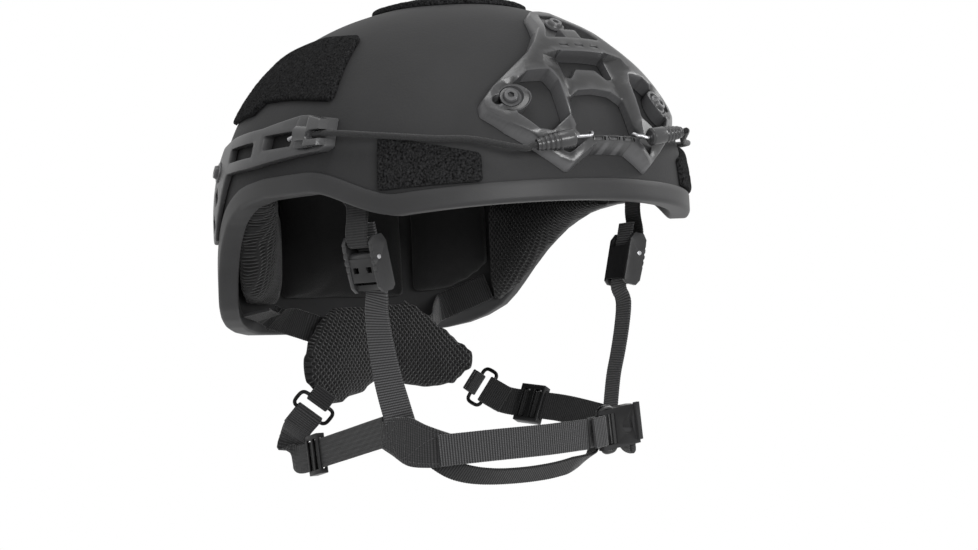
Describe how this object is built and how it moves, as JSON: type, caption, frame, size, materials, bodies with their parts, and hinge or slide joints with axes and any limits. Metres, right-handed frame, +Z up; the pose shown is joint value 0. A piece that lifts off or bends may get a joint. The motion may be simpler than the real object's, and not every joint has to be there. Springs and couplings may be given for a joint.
{
  "type": "combat helmet",
  "caption": "High-cut combat helmet with a front mount frame, slotted side rails, loop patches, shock cords and a chin harness with a magnetic buckle.",
  "frame": {"origin": "on the shell's middle line at the level of the brim's lower edge, near the middle of the head space", "axes": "+Z up through the crown, -Y towards the forehead, +X towards the wearer's left"},
  "size_m": [0.249, 0.2935, 0.2636],
  "materials": {
    "shell": "fine-textured matte paint over the moulded shell",
    "trim": "satin rubber",
    "frame": "satin moulded plastic",
    "rail": "satin moulded plastic",
    "screw": "dark coated steel",
    "nut": "zinc-plated steel",
    "cord": "braided cover over an elastic core",
    "barrel": "moulded plastic with a sheen",
    "wire": "bright steel wire",
    "patch": "loop pile",
    "pad": "knitted fabric over foam",
    "mesh": "open mesh over foam",
    "web_grey": "ribbed webbing",
    "web_black": "ribbed webbing",
    "buckle": "moulded plastic",
    "magnet": "nickel-plated magnet"
  },
  "bodies": {
    "helmet": {"shell": "shell", "edge_trim": "trim", "mount_frame": "frame", "frame_screws": "screw", "rail_right": "rail", "rail_left": "rail", "rail_screws": "screw", "insert_nuts": "nut", "cord_clip_right": "rail", "cord_clip_left": "rail", "shock_cord_right": "cord", "shock_cord_left": "cord", "cord_barrel_right": "barrel", "cord_barrel_left": "barrel", "cord_hook_right": "wire", "cord_hook_left": "wire", "patch_crown": "patch", "patch_rear_right": "patch", "patch_rear_left": "patch", "patch_front_right": "patch", "patch_front_left": "patch", "pad_crown": "pad", "pad_front": "pad", "pad_rear": "pad", "pad_back": "pad", "pad_side_right": "pad", "pad_side_left": "pad", "pad_mesh_right": "mesh", "pad_mesh_left": "mesh", "nape_pad": "mesh", "nape_hanger_right": "web_black", "nape_hanger_left": "web_black", "strap_anchors": "nut", "anchor_strap_right": "web_black", "anchor_strap_left": "web_black", "cam_frame_right": "buckle", "cam_frame_left": "buckle", "cam_pin_right": "nut", "cam_pin_left": "nut", "front_strap_right": "web_grey", "front_strap_left": "web_grey", "junction_right": "web_grey", "junction_left": "web_grey", "rear_strap_right": "web_grey", "rear_strap_left": "web_black", "nape_ring_right": "buckle", "nape_ring_left": "buckle", "nape_tab_right": "web_black", "nape_tab_left": "web_black", "chin_band_upper": "web_grey", "chin_band_lower": "web_grey", "buckle_base": "buckle", "base_magnet": "magnet"},
    "cam_lever_right": {"cam_lever_right": "buckle"},
    "cam_lever_left": {"cam_lever_left": "buckle"},
    "buckle_slide": {"buckle_slide": "buckle", "slide_magnet": "magnet", "chin_loop": "web_black"},
    "rear_slider_right": {"rear_slider_right": "buckle"},
    "rear_slider_left": {"rear_slider_left": "buckle"}
  },
  "joints": [
    {"name": "cam_lever_right_pivot", "type": "hinge", "parent": "helmet", "child": "cam_lever_right", "pos_m": [-0.09313, -0.05615, -0.02389], "axis": [-0.1564, 0.9877, 0], "range_deg": [0, 75]},
    {"name": "cam_lever_left_pivot", "type": "hinge", "parent": "helmet", "child": "cam_lever_left", "pos_m": [0.08913, -0.04565, -0.02189], "axis": [-0.1564, -0.9877, 0], "range_deg": [0, 75]},
    {"name": "buckle_slide_release", "type": "slide", "parent": "helmet", "child": "buckle_slide", "axis": [0.1032, 0.0164, -0.9945], "range_m": [0, 0.014]},
    {"name": "rear_slider_right_adjust", "type": "slide", "parent": "helmet", "child": "rear_slider_right", "axis": [0.093, 0.9818, -0.1654], "range_m": [-0.01, 0.01]},
    {"name": "rear_slider_left_adjust", "type": "slide", "parent": "helmet", "child": "rear_slider_left", "axis": [-0.344, 0.9301, 0.1288], "range_m": [-0.01, 0.005]}
  ]
}
